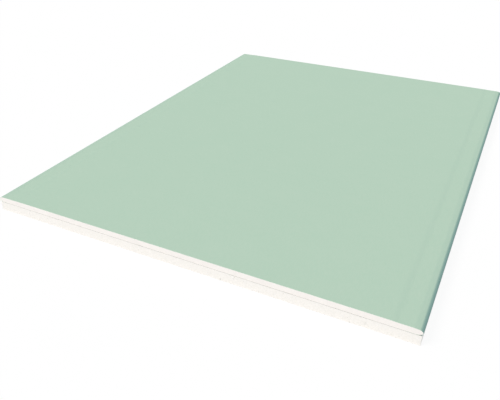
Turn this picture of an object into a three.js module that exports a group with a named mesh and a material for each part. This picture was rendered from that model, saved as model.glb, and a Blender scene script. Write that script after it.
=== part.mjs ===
// A moisture-resistant drywall sheet bonded to a rigid-foam backing, lying on its foam.
// Millimetres. X runs across the sheet, Y along it and Z up through its layers.
// The origin is on the floor under the middle of the sheet.
import * as THREE from 'three';

// The sheet as it is sold.
const sheetWidth = 900;
const sheetLength = 1200;
const boardThickness = 12.5; // the core with its papers, away from the tapers
const foamThickness = 20;
const foamInset = 1; // the foam stops short of the long edges, so that two boards still meet

// The two papers. The face paper wraps the long edges and ends in a flap under the core.
const facePaperThickness = 0.4;
const backPaperThickness = 0.4;
const flapReach = 28; // from the long edge in to the end of the flap
const backPaperMargin = 13; // the back paper stops this far in from the long edge

// The tapered long edge, which leaves room for jointing tape and filler. Going outwards the face
// drops down a smooth ramp, runs on over an almost level margin and droops over a shoulder.
const rampWidth = 14;
const rampDrop = 0.45;
const marginWidth = 21;
const marginDrop = 0.1;
const shoulderWidth = 10;
const shoulderDrop = 0.5;

// The half-round nose. Its widest line splits it into a round above and a longer heel below.
const noseReach = 7; // how far the upper round reaches in over the face
const heelReach = 12; // how far the heel reaches in under the back
const widestHeight = 5.8; // the widest line, above the back of the board
const noseFullness = 0.5; // how far both rounds bulge to their corners, 0.55 for an ellipse

const curveSteps = 16; // straight steps in each curve of the edge

// Heights of the layers above the floor.
const boardBack = foamThickness;
const boardFace = boardBack + boardThickness;
const backPaperTop = boardBack + backPaperThickness;
const widestLine = boardBack + widestHeight;
const longEdge = sheetWidth / 2;

// One long edge, from the flat face over the taper and round the nose to the end of the flap.
// depth is how far the line lies inside the outer surface of the face paper.
function longEdgePath(depth) {
  const face = boardFace - depth;
  const margin = face - rampDrop;
  const shoulder = margin - marginDrop;
  const noseTop = shoulder - shoulderDrop;
  const flap = backPaperTop + depth;

  const noseStart = longEdge - noseReach;
  const shoulderStart = noseStart - shoulderWidth;
  const shoulderMiddle = (shoulderStart + noseStart) / 2;
  const rampEnd = shoulderStart - marginWidth;
  const rampStart = rampEnd - rampWidth;
  const rampMiddle = (rampStart + rampEnd) / 2;
  const heelEnd = longEdge - heelReach;
  const widest = longEdge - depth;

  // The nose goes on in the direction of the shoulder and comes down plumb to its widest line.
  const shoulderSlope = shoulderDrop / (noseStart - shoulderMiddle);
  const nosePull = (widest - noseStart) * noseFullness;
  const sidePull = (noseTop - widestLine) * noseFullness;
  const heelPull = (widest - heelEnd) * noseFullness;
  const heelSidePull = (widestLine - flap) * noseFullness;

  const path = new THREE.Path();
  path.moveTo(rampStart, face);
  path.bezierCurveTo(rampMiddle, face, rampMiddle, margin, rampEnd, margin);
  path.lineTo(shoulderStart, shoulder);
  path.quadraticCurveTo(shoulderMiddle, shoulder, noseStart, noseTop);
  path.bezierCurveTo(
    noseStart + nosePull, noseTop - nosePull * shoulderSlope,
    widest, widestLine + sidePull,
    widest, widestLine
  );
  path.bezierCurveTo(widest, widestLine - heelSidePull, heelEnd + heelPull, flap, heelEnd, flap);
  path.lineTo(longEdge - flapReach, flap);
  return path;
}

// The line of a wrapped layer, from the end of the left flap over the face to that of the right one.
function wrappedLine(depth) {
  const right = longEdgePath(depth).getPoints(curveSteps);
  const left = right.map((point) => new THREE.Vector2(-point.x, point.y));
  return [...left.reverse(), ...right];
}

function facePaperSection() {
  return new THREE.Shape([...wrappedLine(0), ...wrappedLine(facePaperThickness).reverse()]);
}

// The core fills the face paper. Its back is let in where the flaps lie, so the back stays flat.
function coreSection() {
  const flapEnd = longEdge - flapReach;
  const back = [new THREE.Vector2(flapEnd, backPaperTop), new THREE.Vector2(-flapEnd, backPaperTop)];
  return new THREE.Shape([...wrappedLine(facePaperThickness), ...back]);
}

// A flat layer, as far out as halfWidth on both sides.
function slabSection(halfWidth, bottom, top) {
  const section = new THREE.Shape();
  section.moveTo(-halfWidth, bottom);
  section.lineTo(halfWidth, bottom);
  section.lineTo(halfWidth, top);
  section.lineTo(-halfWidth, top);
  section.closePath();
  return section;
}

// Every layer is one section run along the sheet and cut square at both ends.
function layer(name, section, look) {
  const geometry = new THREE.ExtrudeGeometry(section, { depth: sheetLength, bevelEnabled: false });
  geometry.translate(0, 0, -sheetLength / 2);
  geometry.rotateX(Math.PI / 2);
  const mesh = new THREE.Mesh(geometry, new THREE.MeshStandardMaterial({ metalness: 0, ...look }));
  mesh.name = name;
  return mesh;
}

const sheet = new THREE.Group();
sheet.add(
  layer(
    'foam_backing', slabSection(longEdge - foamInset, 0, foamThickness),
    { color: 0xfbf8f2, roughness: 0.75 }
  ),
  layer(
    'back_paper', slabSection(longEdge - backPaperMargin, boardBack, backPaperTop),
    { color: 0xb9b5a8, roughness: 0.95 }
  ),
  layer('gypsum_core', coreSection(), { color: 0xf8f4f0, roughness: 0.9 }),
  layer('face_paper', facePaperSection(), { color: 0xb8d1be, roughness: 0.85 })
);

export default sheet;
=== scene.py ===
import math
import bmesh
import bpy
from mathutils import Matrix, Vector, noise


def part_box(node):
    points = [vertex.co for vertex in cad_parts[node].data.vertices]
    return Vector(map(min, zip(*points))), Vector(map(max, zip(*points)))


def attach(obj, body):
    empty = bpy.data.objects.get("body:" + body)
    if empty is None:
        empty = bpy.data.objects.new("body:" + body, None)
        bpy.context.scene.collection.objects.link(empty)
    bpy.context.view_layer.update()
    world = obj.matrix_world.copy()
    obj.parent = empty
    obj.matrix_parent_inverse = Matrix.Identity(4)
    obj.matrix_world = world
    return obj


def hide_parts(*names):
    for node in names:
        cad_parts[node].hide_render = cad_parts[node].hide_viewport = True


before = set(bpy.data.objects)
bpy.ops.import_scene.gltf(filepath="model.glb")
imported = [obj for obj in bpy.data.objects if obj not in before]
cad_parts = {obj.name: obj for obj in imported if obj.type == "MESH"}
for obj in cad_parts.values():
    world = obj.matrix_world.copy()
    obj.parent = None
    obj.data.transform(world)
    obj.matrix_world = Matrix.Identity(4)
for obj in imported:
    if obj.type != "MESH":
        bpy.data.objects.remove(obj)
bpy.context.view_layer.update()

mm = 0.001
hair = 0.01 * mm  # too little to see, enough to tell two planes apart
facingLimit = 0.5  # a face looks along an axis when its normal has more than this share of it


# Small helpers that every piece uses.


def linear(hexCode):
    # sRGB hex to the linear colour that the shader wants
    channels = [int(hexCode[i:i + 2], 16) / 255 for i in (0, 2, 4)]
    return tuple(c / 12.92 if c <= 0.04045 else ((c + 0.055) / 1.055) ** 2.4 for c in channels) + (1,)


def smoothStep(start, end, value):
    share = min(max((value - start) / (end - start), 0), 1)
    return share * share * (3 - 2 * share)


def addNode(tree, kind, inputs=None, **settings):
    # inputs maps a socket's name or number to a value or to another node's output
    # a Mix node's share is socket 0, its two numbers are 2 and 3 and its two colours 6 and 7,
    # and its result is output 0 for numbers and 2 for colours
    node = tree.nodes.new(kind)
    for name, value in settings.items():
        setattr(node, name, value)
    for socket, value in (inputs or {}).items():
        if isinstance(value, bpy.types.NodeSocket):
            tree.links.new(value, node.inputs[socket])
        else:
            node.inputs[socket].default_value = value
    return node


def newMaterial(name):
    material = bpy.data.materials.new(name)
    material.use_nodes = True
    material.node_tree.nodes.clear()
    return material, material.node_tree


def mergedCopy(node):
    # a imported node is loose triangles: join them, and make each flat face one face again
    weldDistance = 0.001 * mm
    flatAngle = math.radians(0.05)
    bm = bmesh.new()
    bm.from_mesh(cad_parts[node].data)
    bmesh.ops.remove_doubles(bm, verts=bm.verts, dist=weldDistance)
    bmesh.ops.dissolve_limit(bm, angle_limit=flatAngle, verts=bm.verts, edges=bm.edges)
    return bm


def putInOrder(bm):
    # some operators leave their parts in another order each run, so sort them all by place
    for index, vert in enumerate(sorted(bm.verts, key=lambda vert: vert.co[:])):
        vert.index = index
    for parts in (bm.edges, bm.faces):
        byCorners = sorted(parts, key=lambda part: sorted(vert.index for vert in part.verts))
        for index, part in enumerate(byCorners):
            part.index = index
    for parts in (bm.verts, bm.edges, bm.faces):
        parts.sort()


def newPiece(name, bm, material, node):
    putInOrder(bm)
    mesh = bpy.data.meshes.new(name)
    bm.to_mesh(mesh)
    bm.free()
    mesh.materials.append(material)
    piece = bpy.data.objects.new(name, mesh)
    bpy.context.scene.collection.objects.link(piece)
    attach(piece, "root")
    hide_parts(node)
    print(name, "made with", len(mesh.polygons), "faces")


# The face paper, folded round both long edges and in under the core.

facePaper = {
    "thick": "b3ceba",
    "thin": "b8d0bd",
    "fibreRange": (0.3, 0.7),  # about the least and the most that cloud and grain come to
    "toneRange": (0.35, 0.65),  # the part of it over which the tone changes
    "cloudSize": 55 * mm,
    "grainWidth": 2.5 * mm,  # the real fibres are far finer, drawn coarser to show
    "grainStretch": 5,
    "grainShare": 0.75,  # of the tone, and the rest is cloud
    "fleck": "a3bdaa",
    "fleckSpacing": 22 * mm,
    "fleckRadius": 0.5 * mm,
    "fleckStrength": 0.6,
    # painted shade: the paper's own tones made darker and cooler, for the shade round the nose and on the
    # taper
    "paintedShadeThick": "79a19b",
    "paintedShadeThin": "7ba39e",
    # how much shade is painted into the paper, by the distance from the sheet's middle in mm:
    # a trace where the taper begins, a little beside the nose and most round it, where the edge turns from
    # the light
    "paintedShadeByDistance": ((396, 0.0), (400, 0.028), (404, 0.034), (408, 0.018), (413, 0.0),
                 (433, 0.0), (437, 0.085), (442, 0.065), (443, 0.065), (444, 0.12),
                 (446, 0.63), (447.5, 0.8), (449, 0.8), (449.7, 1.0)),
    "innerPly": "eceee7",
    "outerPlyFrom": 0.7,  # share of the thickness, from the inside, where the green ply starts
    "outerPlyBlur": 0.1,
    "roughness": (0.78, 0.88),
    "specular": 0.3,
    "bump": 0.12,
    "grainDepth": 0.05 * mm,
    "foldReach": 12 * mm,  # how far in from the long edge the paper turns round
    "widestCurvedStrip": 3 * mm,  # anything wider is flat and stays flat-shaded
    "sharpAngle": 30,
}


def greenFacePaper():
    # Face paper of moisture-resistant board: recycled fibre, green top ply, sized and calendered.
    # It looks matt and even, with a faint cloud where the fibre lies thicker, a slight drawn
    # grain along the sheet and a few darker flecks of recycled pulp. Round the nose it is painted
    # clearly darker and cooler, and a trace darker on the taper: painted shade of the tapered edge.
    paper = facePaper
    material, tree = newMaterial("greenFacePaper")
    place = addNode(tree, "ShaderNodeTexCoord")
    coords = place.outputs["Object"]
    cloud = addNode(tree, "ShaderNodeTexNoise", {
        "Vector": coords, "Scale": 1 / paper["cloudSize"], "Detail": 3.0, "Roughness": 0.6})
    drawn = addNode(tree, "ShaderNodeMapping", {
        "Vector": coords, "Scale": (1, 1 / paper["grainStretch"], 1)})
    grain = addNode(tree, "ShaderNodeTexNoise", {
        "Vector": drawn.outputs[0], "Scale": 1 / paper["grainWidth"], "Detail": 2.0, "Roughness": 0.7})
    amount = addNode(tree, "ShaderNodeMix", {
        0: paper["grainShare"], 2: cloud.outputs["Fac"], 3: grain.outputs["Fac"]}, data_type="FLOAT")
    spread = addNode(tree, "ShaderNodeMapRange", {
        "Value": amount.outputs[0],
        "From Min": paper["toneRange"][0], "From Max": paper["toneRange"][1]})
    flat = addNode(tree, "ShaderNodeMix", {
        0: spread.outputs[0], 6: linear(paper["thick"]), 7: linear(paper["thin"])}, data_type="RGBA")
    # painted shade: a darker, cooler paper tone standing in for the shade round the nose and on the taper
    shadedTone = addNode(tree, "ShaderNodeMix", {
        0: spread.outputs[0], 6: linear(paper["paintedShadeThick"]), 7: linear(paper["paintedShadeThin"])},
        data_type="RGBA")
    across = addNode(tree, "ShaderNodeSeparateXYZ", {0: coords})
    fromMiddle = addNode(tree, "ShaderNodeMath", {0: across.outputs["X"]}, operation="ABSOLUTE")
    # the share of painted shade, from the table above, by the distance from the sheet's middle
    shadeStart, shadeEnd = paper["paintedShadeByDistance"][0][0], paper["paintedShadeByDistance"][-1][0]
    alongPaintedShade = addNode(tree, "ShaderNodeMapRange", {
        "Value": fromMiddle.outputs[0], "From Min": shadeStart * mm, "From Max": shadeEnd * mm})
    paintedShadeShare = addNode(tree, "ShaderNodeValToRGB", {0: alongPaintedShade.outputs[0]})
    stops = paintedShadeShare.color_ramp.elements
    for distance, share in paper["paintedShadeByDistance"][1:-1]:
        stop = stops.new((distance - shadeStart) / (shadeEnd - shadeStart))
        stop.color = (share, share, share, 1)
    tone = addNode(tree, "ShaderNodeMix", {
        0: paintedShadeShare.outputs[0], 6: flat.outputs[2], 7: shadedTone.outputs[2]}, data_type="RGBA")
    flecks = addNode(tree, "ShaderNodeTexVoronoi", {
        "Vector": coords, "Scale": 1 / paper["fleckSpacing"]})
    fleckEdge = paper["fleckRadius"] / paper["fleckSpacing"]
    isFleck = addNode(tree, "ShaderNodeMapRange", {
        "Value": flecks.outputs["Distance"], "From Min": fleckEdge, "From Max": fleckEdge / 2,
        "To Max": paper["fleckStrength"]})
    flecked = addNode(tree, "ShaderNodeMix", {
        0: isFleck.outputs[0], 6: tone.outputs[2], 7: linear(paper["fleck"])}, data_type="RGBA")
    # the pale inner plies show where the paper is cut, at the two ends of the sheet
    toOutside = addNode(tree, "ShaderNodeAttribute", attribute_name="toOutside")
    isOuterPly = addNode(tree, "ShaderNodeMapRange", {
        "Value": toOutside.outputs["Fac"], "From Min": paper["outerPlyFrom"],
        "From Max": paper["outerPlyFrom"] + paper["outerPlyBlur"]})
    # the dye went through every ply that was pressed wet
    # the cut ends show the green outer ply, and the painted shade of the nose across every ply
    greenPlyOrPaintedShade = addNode(tree, "ShaderNodeMath", {
        0: isOuterPly.outputs[0], 1: paintedShadeShare.outputs[0]}, operation="MAXIMUM")
    plies = addNode(tree, "ShaderNodeMix", {
        0: greenPlyOrPaintedShade.outputs[0], 6: linear(paper["innerPly"]), 7: tone.outputs[2]}, data_type="RGBA")
    facing = addNode(tree, "ShaderNodeSeparateXYZ", {0: place.outputs["Normal"]})
    endwise = addNode(tree, "ShaderNodeMath", {0: facing.outputs["Y"]}, operation="ABSOLUTE")
    isCut = addNode(tree, "ShaderNodeMath", {
        0: endwise.outputs[0], 1: facingLimit}, operation="GREATER_THAN")
    colour = addNode(tree, "ShaderNodeMix", {
        0: isCut.outputs[0], 6: flecked.outputs[2], 7: plies.outputs[2]}, data_type="RGBA")
    rough = addNode(tree, "ShaderNodeMapRange", {
        "Value": amount.outputs[0],
        "From Min": paper["fibreRange"][0], "From Max": paper["fibreRange"][1],
        "To Min": paper["roughness"][0], "To Max": paper["roughness"][1]})
    bump = addNode(tree, "ShaderNodeBump", {
        "Height": grain.outputs["Fac"], "Strength": paper["bump"], "Distance": paper["grainDepth"]})
    shader = addNode(tree, "ShaderNodeBsdfPrincipled", {
        "Base Color": colour.outputs[2], "Roughness": rough.outputs[0], "Normal": bump.outputs[0],
        "Specular IOR Level": paper["specular"]})
    addNode(tree, "ShaderNodeOutputMaterial", {"Surface": shader.outputs[0]})
    return material


def makeFacePaper():
    bm = mergedCopy("face_paper")
    low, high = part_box("face_paper")
    length = high[1] - low[1]
    # the outside of the fold is 1 and the inside 0, and the cut ends run from one to the other
    toOutside = bm.verts.layers.float.new("toOutside")
    foldMiddle = high[0] - facePaper["foldReach"]
    for vert in bm.verts:
        x, y = vert.co.xy
        middle = (math.copysign(min(abs(x), foldMiddle), x), y, (low[2] + high[2]) / 2)
        sides = [face for face in vert.link_faces if abs(face.normal.y) < facingLimit]
        facing = sum((face.normal for face in sides), Vector())
        vert[toOutside] = 1 if facing.dot(vert.co - Vector(middle)) > 0 else 0
    ends = [face for face in bm.faces if abs(face.normal.y) > facingLimit]
    bmesh.ops.triangulate(bm, faces=ends, ngon_method="BEAUTY")
    widestArea = length * facePaper["widestCurvedStrip"]
    for face in bm.faces:
        face.smooth = face.calc_area() < widestArea and abs(face.normal.y) < facingLimit
    for edge in bm.edges:
        edge.smooth = edge.calc_face_angle(0) < math.radians(facePaper["sharpAngle"])
    newPiece("facePaper", bm, greenFacePaper(), "face_paper")


# The back paper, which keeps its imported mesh.

backPaper = {
    "dark": "a5a195",
    "pale": "bcb8ab",
    # painted shade: the cut edge's greys darker than the sheet, for the shade in the joint between core
    # and foam
    "shadedCutDark": "999f98",
    "shadedCutPale": "a3a9a2",
    "fibreWidth": 1.2 * mm,  # the real fibres are far finer, drawn coarser to show
    "fibreStretch": 4,
    "roughness": 0.95,
    "specular": 0.2,
    "bump": 0.4,
    "fibreDepth": 0.1 * mm,
}


def recycledBackPaper():
    # Back paper: unsized grey board stock made from newsprint, soft, hairy and quite rough.
    # Its cut edge is drawn darker than the sheet: its own grey, with painted shade of the joint between
    # the core and the foam.
    paper = backPaper
    material, tree = newMaterial("recycledBackPaper")
    place = addNode(tree, "ShaderNodeTexCoord")
    coords = place.outputs["Object"]
    drawn = addNode(tree, "ShaderNodeMapping", {
        "Vector": coords, "Scale": (1, 1 / paper["fibreStretch"], 1)})
    fibres = addNode(tree, "ShaderNodeTexNoise", {
        "Vector": drawn.outputs[0], "Scale": 1 / paper["fibreWidth"], "Detail": 4.0, "Roughness": 0.65})
    sheet = addNode(tree, "ShaderNodeMix", {
        0: fibres.outputs["Fac"], 6: linear(paper["dark"]), 7: linear(paper["pale"])}, data_type="RGBA")
    # painted shade: the cut edge darker, for the shade in the joint between the core and the foam
    edge = addNode(tree, "ShaderNodeMix", {
        0: fibres.outputs["Fac"], 6: linear(paper["shadedCutDark"]), 7: linear(paper["shadedCutPale"])},
        data_type="RGBA")
    facing = addNode(tree, "ShaderNodeSeparateXYZ", {0: place.outputs["Normal"]})
    upright = addNode(tree, "ShaderNodeMath", {0: facing.outputs["Z"]}, operation="ABSOLUTE")
    isCut = addNode(tree, "ShaderNodeMath", {
        0: upright.outputs[0], 1: facingLimit}, operation="LESS_THAN")
    colour = addNode(tree, "ShaderNodeMix", {
        0: isCut.outputs[0], 6: sheet.outputs[2], 7: edge.outputs[2]}, data_type="RGBA")
    bump = addNode(tree, "ShaderNodeBump", {
        "Height": fibres.outputs["Fac"], "Strength": paper["bump"], "Distance": paper["fibreDepth"]})
    shader = addNode(tree, "ShaderNodeBsdfPrincipled", {
        "Base Color": colour.outputs[2], "Roughness": paper["roughness"], "Normal": bump.outputs[0],
        "Specular IOR Level": paper["specular"]})
    addNode(tree, "ShaderNodeOutputMaterial", {"Surface": shader.outputs[0]})
    return material


def dressBackPaper():
    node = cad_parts["back_paper"]
    node.data.materials.clear()
    node.data.materials.append(recycledBackPaper())
    print("back_paper dressed")


# The gypsum core, which shows white at its two cut ends.

gypsumCore = {
    "chalk": "faf6f2",
    "shade": "f4efeb",
    "toneRange": (0.3, 0.7),  # the cloud and saw marks' values over which the tone changes
    "cloudSize": 18 * mm,
    "sawPitch": 1.6 * mm,
    "sawMarkSquash": 0.12,  # the less, the further the saw marks run upright
    "sawMarkShare": 0.4,  # of the tone, and the rest is cloud
    # painted shade: the darker colour inside the pores
    "shadeInPores": "d3cdc6",
    "finePoreSpacing": 0.9 * mm,
    "finePoreRadius": 0.24 * mm,
    "widePoreSpacing": 3.5 * mm,
    "widePoreRadius": 0.5 * mm,
    "poreless": 0.35,  # share of the cells that have no pore
    "roughness": 0.95,
    "specular": 0.2,
    "bump": 0.3,
    "poreDepth": 0.15 * mm,
    "cellSize": 1.2 * mm,  # of the mesh of the two cut ends
    "setBack": 0.03 * mm,  # the crumbly core stops a little short of its papers
    "sawWave": 0.03 * mm,
    "sawWaveLength": 7 * mm,
    "sawWaveSquash": 0.1,  # the less, the further the waves run upright
    "grainDepth": 0.02 * mm,
    "grainSize": 2.6 * mm,
    "chipDepth": 0.18 * mm,  # crumbs lost where the saw left the paper
    "chipReach": 1.6 * mm,
    "chipSpacing": 24 * mm,
    "chipNoise": (0.3, 0.6),  # a chip starts at the first value and has its full depth at the second
    "upperChips": 40,  # two places in the noise, so that the chips of the two rims differ
    "lowerChips": 80,
}


def sawnGypsum():
    # Foamed gypsum plaster, cast between the papers and sawn across. Chalk white and dead matt,
    # full of small round pores from the foam, with fine upright marks from the saw.
    gypsum = gypsumCore
    material, tree = newMaterial("sawnGypsum")
    coords = addNode(tree, "ShaderNodeTexCoord").outputs["Object"]
    cloud = addNode(tree, "ShaderNodeTexNoise", {
        "Vector": coords, "Scale": 1 / gypsum["cloudSize"], "Detail": 4.0, "Roughness": 0.6})
    upright = addNode(tree, "ShaderNodeMapping", {
        "Vector": coords, "Scale": (1, 1, gypsum["sawMarkSquash"])})
    sawMarks = addNode(tree, "ShaderNodeTexNoise", {
        "Vector": upright.outputs[0], "Scale": 1 / gypsum["sawPitch"], "Detail": 2.0})
    amount = addNode(tree, "ShaderNodeMix", {
        0: gypsum["sawMarkShare"], 2: cloud.outputs["Fac"], 3: sawMarks.outputs["Fac"]},
        data_type="FLOAT")
    spread = addNode(tree, "ShaderNodeMapRange", {
        "Value": amount.outputs[0],
        "From Min": gypsum["toneRange"][0], "From Max": gypsum["toneRange"][1]})
    tone = addNode(tree, "ShaderNodeMix", {
        0: spread.outputs[0], 6: linear(gypsum["shade"]), 7: linear(gypsum["chalk"])}, data_type="RGBA")
    inPore = []
    for size in ("finePore", "widePore"):
        spacing = gypsum[size + "Spacing"]
        cells = addNode(tree, "ShaderNodeTexVoronoi", {"Vector": coords, "Scale": 1 / spacing})
        draw = addNode(tree, "ShaderNodeSeparateColor", {0: cells.outputs["Color"]})
        # each cell's pore has its own size, and some cells have none
        radius = addNode(tree, "ShaderNodeMapRange", {
            "Value": draw.outputs["Red"], "From Min": gypsum["poreless"], "From Max": 1.0,
            "To Min": 0.0, "To Max": gypsum[size + "Radius"] / spacing})
        depth = addNode(tree, "ShaderNodeMapRange", {
            "Value": cells.outputs["Distance"], "From Min": radius.outputs[0], "From Max": 0.0},
            interpolation_type="SMOOTHSTEP")
        inPore.append(depth.outputs[0])
    pores = addNode(tree, "ShaderNodeMath", {0: inPore[0], 1: inPore[1]}, operation="MAXIMUM")
    # painted shade: the pores drawn darker than the chalk, for the shade inside them
    colour = addNode(tree, "ShaderNodeMix", {
        0: pores.outputs[0], 6: tone.outputs[2], 7: linear(gypsum["shadeInPores"])}, data_type="RGBA")
    height = addNode(tree, "ShaderNodeMath", {
        0: sawMarks.outputs["Fac"], 1: pores.outputs[0]}, operation="SUBTRACT")
    bump = addNode(tree, "ShaderNodeBump", {
        "Height": height.outputs[0], "Strength": gypsum["bump"], "Distance": gypsum["poreDepth"]})
    shader = addNode(tree, "ShaderNodeBsdfPrincipled", {
        "Base Color": colour.outputs[2], "Roughness": gypsum["roughness"], "Normal": bump.outputs[0],
        "Specular IOR Level": gypsum["specular"]})
    addNode(tree, "ShaderNodeOutputMaterial", {"Surface": shader.outputs[0]})
    return material


def makeGypsumCore():
    core = gypsumCore
    bm = mergedCopy("gypsum_core")
    low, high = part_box("gypsum_core")
    width, length, height = (high[i] - low[i] for i in range(3))
    # keep the section at one end, cut it into cells and run it along the sheet
    rest = [face for face in bm.faces if face.normal.y > -facingLimit]
    bmesh.ops.delete(bm, geom=rest, context="FACES")
    uncut = bmesh.ops.dissolve_faces(bm, faces=bm.faces[:])["region"][0]
    columns = round(width / core["cellSize"])
    for column in range(1, columns):
        place = (low[0] + width * column / columns, 0, 0)
        cut = bmesh.ops.bisect_plane(
            bm, geom=[uncut] + list(uncut.edges) + list(uncut.verts), plane_co=place, plane_no=(1, 0, 0))
        parts = [part for part in cut["geom"] if isinstance(part, bmesh.types.BMFace)]
        uncut = max(parts, key=lambda part: part.calc_center_median().x)
    rows = round(height / core["cellSize"])
    for row in range(1, rows):
        place = (0, 0, low[2] + height * row / rows)
        bmesh.ops.bisect_plane(
            bm, geom=bm.verts[:] + bm.edges[:] + bm.faces[:], plane_co=place, plane_no=(0, 0, 1))
    run = bmesh.ops.extrude_face_region(bm, geom=bm.faces[:])
    farEnd = [part for part in run["geom"] if isinstance(part, bmesh.types.BMVert)]
    bmesh.ops.translate(bm, vec=(0, length, 0), verts=farEnd)
    bmesh.ops.recalc_face_normals(bm, faces=bm.faces)
    for face in bm.faces:
        face.smooth = abs(face.normal.y) > facingLimit
    for edge in bm.edges:
        edge.smooth = all(face.smooth for face in edge.link_faces)
    for vert in bm.verts:
        x, y, z = vert.co
        upPlace = z * core["sawWaveSquash"] / core["sawWaveLength"]
        wave = (1 + noise.noise((x / core["sawWaveLength"], y, upPlace))) / 2
        rough = (1 + noise.noise(vert.co / core["grainSize"])) / 2
        depth = core["setBack"] + core["sawWave"] * wave + core["grainDepth"] * rough
        toPaper = min(z - low[2], high[2] - z)
        rim = core["upperChips"] if z > low[2] + height / 2 else core["lowerChips"]
        chip = smoothStep(*core["chipNoise"], noise.noise((x / core["chipSpacing"], y, rim)))
        depth += core["chipDepth"] * chip * smoothStep(core["chipReach"], 0, toPaper)
        vert.co.y -= math.copysign(depth, y)
    newPiece("sawnCore", bm, sawnGypsum(), "gypsum_core")


# The foam backing, cut square on all four sides.

foamBacking = {
    "bead": "f8f5f1",
    "otherBead": "f6f3ee",
    "beadSize": 4.6 * mm,
    "beadScatter": 0.8,  # 0 sets the beads in even rows, 1 anyhow
    "beadTurn": (0.6, 0.4, 0.9),  # in radians, so that no wall cuts the beads' rows square
    "beadReach": 4 * mm,  # how far from its middle a bead swelled at most
    "beadDome": 0.25,  # share of a bead's size, in from its seam, that is rounded
    "seam": "ebe9e4",
    "seamWidth": 0.16 * mm,
    "seamCore": 0.3,  # share of the seam that has its full colour
    # painted shade: the darker colour of the gaps between the beads
    "shadedGap": "dbd9d3",
    "gapBlur": 0.05,
    # painted shade: the darker colour of the torn pits, on top of their real depth
    "shadedPit": "efede8",
    "poreSize": 0.5 * mm,  # the cells inside a bead are finer, drawn coarser to show
    "poreShare": 0.15,
    "roughness": (0.5, 0.65),
    "ior": 1.3,
    "specular": 0.4,
    "bump": 0.25,
    "beadDepth": 0.1 * mm,
    "cellSize": 1.25 * mm,  # of the mesh of the four cut sides
    "tornSpacing": 34 * mm,  # roughly one bead in each such cell tore out and left a pit
    "tornRadius": 2.4 * mm,
    "tornDepth": 0.45 * mm,
    "tornFloor": 0.35,  # share of the radius that is torn to its full depth
    "wireWave": 0.06 * mm,
    "wireWaveLength": 30 * mm,
    "wireWavesUp": 60,  # in each metre of height
    "cornerReach": 1.6 * mm,
    "cornerDepth": 0.15 * mm,
    "ringWidth": 1 * mm,  # less than a cell
    "sharpAngle": 45,
}


def cutPolystyrene():
    # Expanded polystyrene: white beads blown up and fused in a mould, then cut with a hot wire.
    # The wire leaves a faint satin skin. Each bead shows as a cell of its own white, with a thin
    # grey seam where it met its neighbours, and painted shade in the small gap where none of them reached.
    foam = foamBacking
    material, tree = newMaterial("cutPolystyrene")
    coords = addNode(tree, "ShaderNodeTexCoord").outputs["Object"]
    turned = addNode(tree, "ShaderNodeMapping", {"Vector": coords, "Rotation": foam["beadTurn"]})
    beadCells = {"Vector": turned.outputs[0], "Scale": 1 / foam["beadSize"],
                 "Randomness": foam["beadScatter"]}
    beads = addNode(tree, "ShaderNodeTexVoronoi", beadCells)
    share = addNode(tree, "ShaderNodeSeparateColor", {0: beads.outputs["Color"]})
    seams = addNode(tree, "ShaderNodeTexVoronoi", beadCells, feature="DISTANCE_TO_EDGE")
    seamEdge = foam["seamWidth"] / foam["beadSize"]
    inSeam = addNode(tree, "ShaderNodeMapRange", {
        "Value": seams.outputs["Distance"], "From Min": seamEdge, "From Max": seamEdge * foam["seamCore"]})
    gapEdge = foam["beadReach"] / foam["beadSize"]
    inGap = addNode(tree, "ShaderNodeMapRange", {
        "Value": beads.outputs["Distance"], "From Min": gapEdge, "From Max": gapEdge + foam["gapBlur"]})
    torn = addNode(tree, "ShaderNodeAttribute", attribute_name="torn")
    tone = addNode(tree, "ShaderNodeMix", {
        0: share.outputs["Green"], 6: linear(foam["otherBead"]), 7: linear(foam["bead"])},
        data_type="RGBA")
    seamed = addNode(tree, "ShaderNodeMix", {
        0: inSeam.outputs[0], 6: tone.outputs[2], 7: linear(foam["seam"])}, data_type="RGBA")
    # painted shade in the gaps between the beads
    withGapShade = addNode(tree, "ShaderNodeMix", {
        0: inGap.outputs[0], 6: seamed.outputs[2], 7: linear(foam["shadedGap"])}, data_type="RGBA")
    # painted shade: the torn pits drawn darker, on top of their real depth
    colour = addNode(tree, "ShaderNodeMix", {
        0: torn.outputs["Fac"], 6: withGapShade.outputs[2], 7: linear(foam["shadedPit"])}, data_type="RGBA")
    pores = addNode(tree, "ShaderNodeTexNoise", {
        "Vector": coords, "Scale": 1 / foam["poreSize"], "Detail": 1.0})
    dome = addNode(tree, "ShaderNodeMapRange", {
        "Value": seams.outputs["Distance"], "From Max": foam["beadDome"]},
        interpolation_type="SMOOTHSTEP")
    height = addNode(tree, "ShaderNodeMath", {
        0: pores.outputs["Fac"], 1: foam["poreShare"], 2: dome.outputs[0]}, operation="MULTIPLY_ADD")
    bump = addNode(tree, "ShaderNodeBump", {
        "Height": height.outputs[0], "Strength": foam["bump"], "Distance": foam["beadDepth"]})
    rough = addNode(tree, "ShaderNodeMapRange", {
        "Value": share.outputs["Blue"],
        "To Min": foam["roughness"][0], "To Max": foam["roughness"][1]})
    shader = addNode(tree, "ShaderNodeBsdfPrincipled", {
        "Base Color": colour.outputs[2], "Roughness": rough.outputs[0], "Normal": bump.outputs[0],
        "IOR": foam["ior"], "Specular IOR Level": foam["specular"]})
    addNode(tree, "ShaderNodeOutputMaterial", {"Surface": shader.outputs[0]})
    return material


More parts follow.
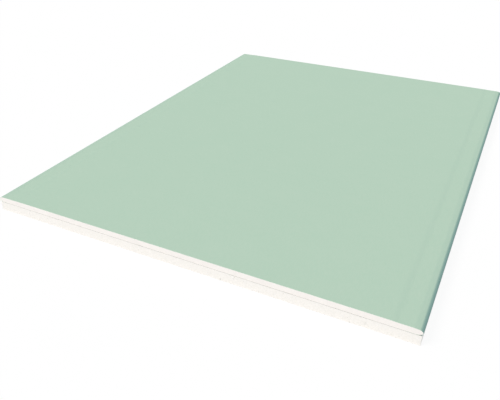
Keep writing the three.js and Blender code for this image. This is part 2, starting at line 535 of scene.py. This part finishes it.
def makeFoamSlab():
    foam = foamBacking
    low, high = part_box("foam_backing")
    width, length, height = (high[i] - low[i] for i in range(3))
    # the outline of the slab, drawn up row by row into its four walls
    bm = bmesh.new()
    bmesh.ops.create_grid(bm, x_segments=1, y_segments=1, size=0.5)
    bmesh.ops.scale(bm, vec=(width, length, 1), verts=bm.verts)
    bmesh.ops.delete(bm, geom=bm.faces[:], context="FACES_ONLY")
    for direction, size in ((0, width), (1, length)):
        side = [edge for edge in bm.edges
                if abs(edge.verts[0].co[direction] - edge.verts[1].co[direction]) > size / 2]
        bmesh.ops.subdivide_edges(bm, edges=side, cuts=round(size / foam["cellSize"]) - 1)
    rows = round(height / foam["cellSize"])
    rim = bm.edges[:]
    bottomRim = rim
    for _ in range(rows):
        grown = bmesh.ops.extrude_edge_only(bm, edges=rim)
        rim = [part for part in grown["geom"] if isinstance(part, bmesh.types.BMEdge)]
        moved = [part for part in grown["geom"] if isinstance(part, bmesh.types.BMVert)]
        bmesh.ops.translate(bm, vec=(0, 0, height / rows), verts=moved)
    walls = bm.faces[:]
    # the two level faces, with a narrow ring that keeps the torn beads' marks at their rims
    level = bmesh.ops.holes_fill(bm, edges=bottomRim, sides=0)["faces"]
    level += bmesh.ops.holes_fill(bm, edges=rim, sides=0)["faces"]
    bmesh.ops.inset_region(bm, faces=level, thickness=foam["ringWidth"], use_even_offset=True)
    bmesh.ops.recalc_face_normals(bm, faces=bm.faces)
    for face in walls:
        face.smooth = True
    for edge in bm.edges:
        edge.smooth = edge.calc_face_angle(0) < math.radians(foam["sharpAngle"])
    torn = bm.verts.layers.float.new("torn")
    for vert in bm.verts:
        x, y, z = vert.co
        if max(abs(x) - width / 2, abs(y) - length / 2) < -hair:
            continue
        nearest = noise.voronoi(vert.co / foam["tornSpacing"])[0][0]
        toPit = nearest * foam["tornSpacing"] / foam["tornRadius"]
        vert[torn] = 1 - smoothStep(foam["tornFloor"], 1, toPit)
        wavePlace = (x / foam["wireWaveLength"], y / foam["wireWaveLength"], z * foam["wireWavesUp"])
        wave = (1 + noise.noise(wavePlace)) / 2
        depth = foam["wireWave"] * wave + foam["tornDepth"] * vert[torn]
        toCorner = max(width / 2 - abs(x), length / 2 - abs(y))
        depth += foam["cornerDepth"] * smoothStep(foam["cornerReach"], 0, toCorner)
        if abs(x) > width / 2 - hair:
            vert.co.x -= math.copysign(depth, x)
        if abs(y) > length / 2 - hair:
            vert.co.y -= math.copysign(depth, y)
    newPiece("foamSlab", bm, cutPolystyrene(), "foam_backing")


# The floor, the lights and the camera.


def seenRays(tree):
    # 1 for rays that show a thing to the eye, also through gloss and glass, and 0 for its light
    ray = addNode(tree, "ShaderNodeLightPath")
    direct = addNode(tree, "ShaderNodeMath", {
        0: ray.outputs["Is Camera Ray"], 1: ray.outputs["Is Glossy Ray"]}, operation="MAXIMUM")
    seen = addNode(tree, "ShaderNodeMath", {
        0: direct.outputs[0], 1: ray.outputs["Is Transmission Ray"]}, operation="MAXIMUM")
    return seen.outputs[0]


stage = {
    "floorSize": 14,
    "lift": hair,  # into the foam, so that the two level faces don't coincide
    "shadowShare": 0.1,  # how much of the shadow's darkness the white floor keeps in view
    "bounce": "f5f5f5",  # the paler the floor, the more light it throws up at the edges
}


def makeStage():
    bm = bmesh.new()
    bmesh.ops.create_grid(bm, x_segments=1, y_segments=1, size=stage["floorSize"] / 2)
    bmesh.ops.translate(bm, vec=(0, 0, stage["lift"]), verts=bm.verts)
    mesh = bpy.data.meshes.new("floor")
    bm.to_mesh(mesh)
    bm.free()
    floor = bpy.data.objects.new("floor", mesh)
    bpy.context.scene.collection.objects.link(floor)
    material, tree = newMaterial("whiteStudioFloor")
    white = addNode(tree, "ShaderNodeBsdfDiffuse", {"Color": (1, 1, 1, 1)})
    glow = addNode(tree, "ShaderNodeEmission", {"Strength": 1.0})
    seenFloor = addNode(tree, "ShaderNodeMixShader", {
        0: stage["shadowShare"], 1: glow.outputs[0], 2: white.outputs[0]})
    grey = addNode(tree, "ShaderNodeBsdfDiffuse", {"Color": linear(stage["bounce"])})
    both = addNode(tree, "ShaderNodeMixShader", {
        0: seenRays(tree), 1: grey.outputs[0], 2: seenFloor.outputs[0]})
    addNode(tree, "ShaderNodeOutputMaterial", {"Surface": both.outputs[0]})
    mesh.materials.append(material)
    print("stage set")


lights = {
    "skyColour": (0.94, 1.0, 1.05),
    "skyStrength": 0.6,
    "keyColour": (1.08, 1.0, 0.93),
    "keyStrength": 1.67,
    "keyFrom": (-0.41, -0.41, 0.66),  # towards the lamp: left, in front and above
    "keySpread": 28,  # the wider the lamp, the softer its shadow
}


def makeLights():
    world = bpy.data.worlds.new("studio")
    world.use_nodes = True
    tree = world.node_tree
    tree.nodes.clear()
    sky = addNode(tree, "ShaderNodeBackground", {
        "Color": lights["skyColour"] + (1,), "Strength": lights["skyStrength"]})
    white = addNode(tree, "ShaderNodeBackground", {"Color": (1, 1, 1, 1), "Strength": 1.0})
    both = addNode(tree, "ShaderNodeMixShader", {
        0: seenRays(tree), 1: sky.outputs[0], 2: white.outputs[0]})
    addNode(tree, "ShaderNodeOutputWorld", {"Surface": both.outputs[0]})
    bpy.context.scene.world = world
    lamp = bpy.data.lights.new("key", "SUN")
    lamp.energy = lights["keyStrength"]
    lamp.color = lights["keyColour"]
    lamp.angle = math.radians(lights["keySpread"])
    key = bpy.data.objects.new("key", lamp)
    key.rotation_euler = Vector(lights["keyFrom"]).to_track_quat("Z", "Y").to_euler()
    bpy.context.scene.collection.objects.link(key)
    print("lights set")


view = {
    "eye": (0.4857, -1.3316, 0.6611),
    "tiltFromDown": 59.42,
    "turn": 27.445,
    "lens": 41.548,
    "sensorWidth": 36,
    "shiftX": 0.0458,
}


def makeCamera():
    data = bpy.data.cameras.new("camera")
    data.lens = view["lens"]
    data.sensor_width = view["sensorWidth"]
    data.shift_x = view["shiftX"]
    camera = bpy.data.objects.new("camera", data)
    camera.location = view["eye"]
    camera.rotation_euler = (math.radians(view["tiltFromDown"]), 0, math.radians(view["turn"]))
    bpy.context.scene.collection.objects.link(camera)
    bpy.context.scene.camera = camera
    print("camera set")


makeCamera()
makeLights()
makeStage()
makeFacePaper()
dressBackPaper()
makeGypsumCore()
makeFoamSlab()
bpy.context.scene.view_settings.view_transform = "Standard"
